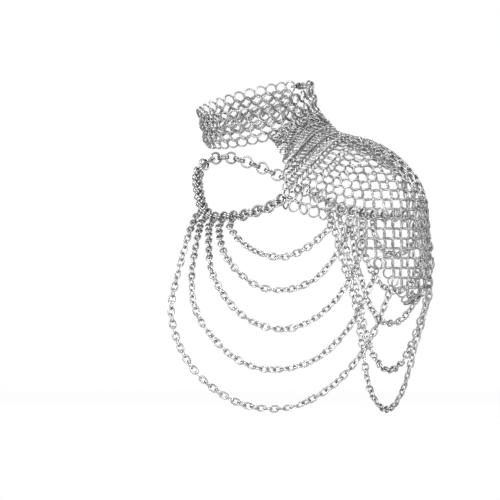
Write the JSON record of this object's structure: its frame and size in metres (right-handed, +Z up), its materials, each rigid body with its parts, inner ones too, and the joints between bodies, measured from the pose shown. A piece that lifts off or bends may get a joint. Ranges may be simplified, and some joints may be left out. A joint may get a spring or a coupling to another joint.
{
  "type": "chain mail collar and shoulder mantle",
  "caption": "Open-ring mail collar with a one-shoulder mantle, a neck chain and chains draped over the chest and back, closed by clasps behind the neck.",
  "frame": {"origin": "middle of the collar band, on the axis of the wearer's neck", "axes": "+Z up, -Y the way the wearer faces, +X the wearer's left, where the mantle lies"},
  "size_m": [0.3136, 0.2417, 0.3321],
  "materials": {
    "mail_aluminium": "bright",
    "polished_link": "polished",
    "clasp_steel": "polished"
  },
  "bodies": {
    "mail": {"back_drape_1_edge_ring": "polished_link", "back_drape_1_lower_ring": "polished_link", "back_drape_1_upper_ring": "polished_link", "back_drape_2_edge_ring": "polished_link", "back_drape_2_lower_ring": "polished_link", "back_drape_2_upper_ring": "polished_link", "back_drape_3_edge_ring": "polished_link", "back_drape_3_lower_ring": "polished_link", "back_drape_3_upper_ring": "polished_link", "back_drape_4_edge_ring": "polished_link", "back_drape_4_lower_ring": "polished_link", "back_drape_4_upper_ring": "polished_link", "back_drape_5_edge_ring": "polished_link", "back_drape_5_lower_ring": "polished_link", "back_drape_5_upper_ring": "polished_link", "clasp_lower_body": "clasp_steel", "clasp_lower_left_ring": "polished_link", "clasp_lower_pin": "clasp_steel", "clasp_lower_right_ring": "polished_link", "clasp_upper_body": "clasp_steel", "clasp_upper_left_ring": "polished_link", "clasp_upper_pin": "clasp_steel", "clasp_upper_right_ring": "polished_link", "collar_mail": "mail_aluminium", "front_drape_1_edge_ring": "polished_link", "front_drape_1_lower_ring": "polished_link", "front_drape_1_upper_ring": "polished_link", "front_drape_2_edge_ring": "polished_link", "front_drape_2_lower_ring": "polished_link", "front_drape_2_upper_ring": "polished_link", "front_drape_3_edge_ring": "polished_link", "front_drape_3_lower_ring": "polished_link", "front_drape_3_upper_ring": "polished_link", "front_drape_4_edge_ring": "polished_link", "front_drape_4_lower_ring": "polished_link", "front_drape_4_upper_ring": "polished_link", "front_drape_5_edge_ring": "polished_link", "front_drape_5_lower_ring": "polished_link", "front_drape_5_upper_ring": "polished_link", "mantle_arm_point": "mail_aluminium", "mantle_back": "mail_aluminium", "mantle_front": "mail_aluminium", "neck_chain": "polished_link", "neck_chain_back_ring": "polished_link", "neck_chain_front_ring": "polished_link"},
    "front_drape_1": {"front_drape_1": "polished_link"},
    "front_drape_2": {"front_drape_2": "polished_link"},
    "front_drape_3": {"front_drape_3": "polished_link"},
    "front_drape_4": {"front_drape_4": "polished_link"},
    "front_drape_5": {"front_drape_5": "polished_link"},
    "back_drape_1": {"back_drape_1": "polished_link"},
    "back_drape_2": {"back_drape_2": "polished_link"},
    "back_drape_3": {"back_drape_3": "polished_link"},
    "back_drape_4": {"back_drape_4": "polished_link"},
    "back_drape_5": {"back_drape_5": "polished_link"},
    "clasp_upper_gate": {"clasp_upper_gate": "clasp_steel"},
    "clasp_lower_gate": {"clasp_lower_gate": "clasp_steel"}
  },
  "joints": [
    {"name": "front_drape_1_swing", "type": "hinge", "parent": "mail", "child": "front_drape_1", "pos_m": [0.0574, -0.07425, -0.10803], "axis": [-0.9623, -0.2714, 0.0184], "range_deg": [0, 60]},
    {"name": "front_drape_2_swing", "type": "hinge", "parent": "mail", "child": "front_drape_2", "pos_m": [0.04048, -0.07457, -0.10867], "axis": [-0.9565, -0.289, 0.0389], "range_deg": [0, 60]},
    {"name": "front_drape_3_swing", "type": "hinge", "parent": "mail", "child": "front_drape_3", "pos_m": [0.02292, -0.07386, -0.10872], "axis": [-0.9454, -0.2878, 0.153], "range_deg": [0, 60]},
    {"name": "front_drape_4_swing", "type": "hinge", "parent": "mail", "child": "front_drape_4", "pos_m": [0.0054, -0.07095, -0.10483], "axis": [-0.9249, -0.2997, 0.2339], "range_deg": [0, 45]},
    {"name": "front_drape_5_swing", "type": "hinge", "parent": "mail", "child": "front_drape_5", "pos_m": [-0.01007, -0.06584, -0.09834], "axis": [-0.9038, -0.3029, 0.3024], "range_deg": [0, 60]},
    {"name": "back_drape_1_swing", "type": "hinge", "parent": "mail", "child": "back_drape_1", "pos_m": [0.06078, 0.09722, -0.10691], "axis": [0.9856, 0.0097, -0.169], "range_deg": [0, 60]},
    {"name": "back_drape_2_swing", "type": "hinge", "parent": "mail", "child": "back_drape_2", "pos_m": [0.04398, 0.0959, -0.1053], "axis": [0.9916, -0.0168, -0.1279], "range_deg": [0, 60]},
    {"name": "back_drape_3_swing", "type": "hinge", "parent": "mail", "child": "back_drape_3", "pos_m": [0.02711, 0.09402, -0.10281], "axis": [0.9664, -0.0414, -0.2535], "range_deg": [0, 60]},
    {"name": "back_drape_4_swing", "type": "hinge", "parent": "mail", "child": "back_drape_4", "pos_m": [0.01049, 0.09142, -0.09917], "axis": [0.9464, -0.0667, -0.3161], "range_deg": [0, 60]},
    {"name": "back_drape_5_swing", "type": "hinge", "parent": "mail", "child": "back_drape_5", "pos_m": [-0.00557, 0.08811, -0.09394], "axis": [0.9258, -0.09, -0.3672], "range_deg": [0, 60]},
    {"name": "clasp_upper_gate_pivot", "type": "hinge", "parent": "mail", "child": "clasp_upper_gate", "pos_m": [-0.0021, 0.05027, 0.03085], "axis": [0, 0.9588, 0.284], "range_deg": [0, 18], "stiffness_Nm_per_rad": 0.002, "springref_deg": -11.46},
    {"name": "clasp_lower_gate_pivot", "type": "hinge", "parent": "mail", "child": "clasp_lower_gate", "pos_m": [-0.0021, 0.05811, 0.00438], "axis": [0, 0.9588, 0.284], "range_deg": [0, 18], "stiffness_Nm_per_rad": 0.002, "springref_deg": -11.46}
  ]
}
